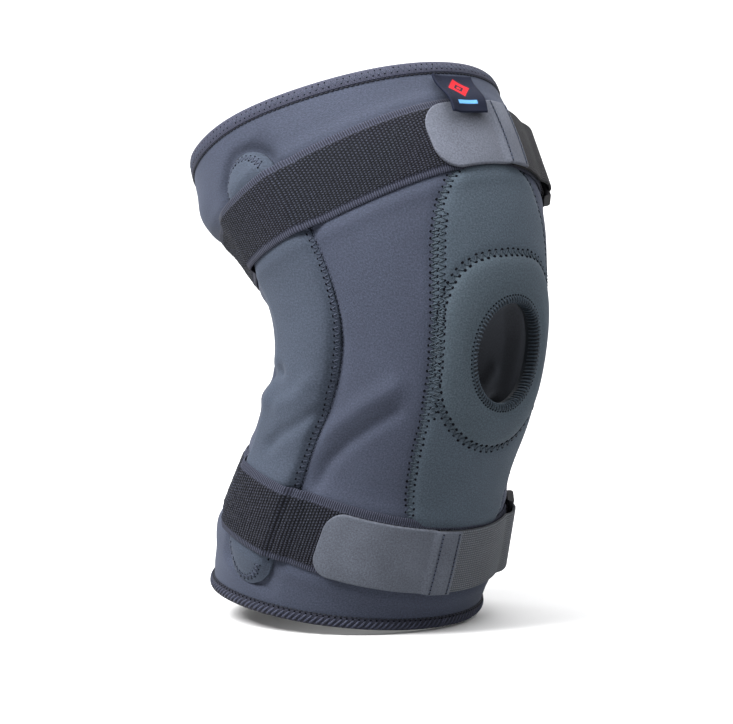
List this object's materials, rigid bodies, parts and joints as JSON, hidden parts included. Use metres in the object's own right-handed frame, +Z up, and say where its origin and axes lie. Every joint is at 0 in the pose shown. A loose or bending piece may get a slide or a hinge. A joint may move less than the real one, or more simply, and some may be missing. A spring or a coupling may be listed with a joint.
{
  "type": "hinged knee brace",
  "caption": "Neoprene knee brace with an open padded patella, side hinges in pockets, and elastic hook-and-loop straps above and below the knee.",
  "frame": {"origin": "the middle of the hinge axis, at the centre of the wearer's knee", "axes": "+Z up along the leg, the kneecap faces -Y, the wearer's outer side is -X; the hinges turn about X"},
  "size_m": [0.1811, 0.2187, 0.2988],
  "materials": {
    "neoprene_side": "fine jersey face over neoprene, matt with a soft sheen",
    "neoprene_front": "fine jersey face over neoprene, matt with a soft sheen",
    "neoprene_pocket": "fine jersey face over neoprene, matt with a soft sheen",
    "edge_tape": "folded woven tape, matt",
    "overlock_thread": "overlocked polyester thread, matt",
    "loop_elastic": "ribbed loop-pile elastic, matt",
    "ribbed_elastic": "flat ribbed elastic, matt",
    "hook_tab": "brushed grey hook-tape backing, matt",
    "webbing": "woven webbing, matt",
    "ring_plastic": "moulded acetal, satin",
    "arm_aluminium": "bead-blasted, satin",
    "cover_steel": "brushed",
    "rivet_steel": "brushed",
    "washer_nylon": "matt",
    "label_cloth": "woven satin tag"
  },
  "bodies": {
    "thigh_section": {"thigh_sleeve": "neoprene_side", "top_binding": "edge_tape", "upper_strap": "loop_elastic", "upper_strap_ring": "ring_plastic", "upper_ring_keeper": "webbing", "upper_anchor_patch": "webbing", "lateral_pocket_upper": "neoprene_pocket", "medial_pocket_upper": "neoprene_pocket", "lateral_upper_arm": "arm_aluminium", "medial_upper_arm": "arm_aluminium", "lateral_inner_cover": "cover_steel", "medial_inner_cover": "cover_steel", "lateral_outer_cover": "cover_steel", "medial_outer_cover": "cover_steel", "lateral_rivet": "rivet_steel", "medial_rivet": "rivet_steel", "lateral_washer": "washer_nylon", "medial_washer": "washer_nylon", "lateral_stop_pin": "rivet_steel", "medial_stop_pin": "rivet_steel"},
    "shank_section": {"calf_sleeve": "neoprene_side", "bottom_binding": "edge_tape", "lower_strap": "loop_elastic", "lower_strap_ring": "ring_plastic", "lower_ring_keeper": "webbing", "lower_anchor_patch": "webbing", "lateral_pocket_lower": "neoprene_pocket", "medial_pocket_lower": "neoprene_pocket", "lateral_lower_arm": "arm_aluminium", "medial_lower_arm": "arm_aluminium"},
    "kneecap_section": {"front_panel": "neoprene_front", "patella_buttress": "neoprene_front", "patella_edge_binding": "overlock_thread", "lateral_side_panel": "neoprene_side", "medial_side_panel": "neoprene_side", "popliteal_panel": "neoprene_side", "lateral_pocket_knee": "neoprene_pocket", "medial_pocket_knee": "neoprene_pocket"},
    "upper_strap_tail_body": {"upper_strap_tail": "ribbed_elastic", "upper_hook_tab": "hook_tab"},
    "lower_strap_tail_body": {"lower_strap_tail": "ribbed_elastic", "lower_hook_tab": "hook_tab"},
    "label_body": {"side_label": "label_cloth"}
  },
  "joints": [
    {"name": "knee_flexion", "type": "hinge", "parent": "thigh_section", "child": "shank_section", "pos_m": [0, 0, 0], "axis": [1, 0, 0], "range_deg": [-42, 43], "deforming": ["front_panel", "lateral_side_panel", "medial_side_panel", "popliteal_panel", "lateral_pocket_knee", "medial_pocket_knee"]},
    {"name": "kneecap_tracking", "type": "hinge", "parent": "thigh_section", "child": "kneecap_section", "pos_m": [0, 0, 0], "axis": [1, 0, 0], "range_deg": [-21, 21.5]},
    {"name": "upper_strap_peel", "type": "hinge", "parent": "thigh_section", "child": "upper_strap_tail_body", "pos_m": [0.0596, -0.03653, 0.09302], "axis": [0.0676, 0.489, 0.8697], "range_deg": [0, 60], "deforming": ["side_label"]},
    {"name": "lower_strap_peel", "type": "hinge", "parent": "shank_section", "child": "lower_strap_tail_body", "pos_m": [0.05527, -0.01864, -0.10941], "axis": [-0.114, -0.3137, 0.9427], "range_deg": [0, 60]},
    {"name": "label_flap", "type": "hinge", "parent": "thigh_section", "child": "label_body", "pos_m": [-0.00222, -0.03378, 0.14017], "axis": [1, 0, 0], "range_deg": [-140, 0]}
  ],
  "couplings": [
    {"joint": "kneecap_tracking", "follows": "knee_flexion", "ratio": 0.5}
  ]
}
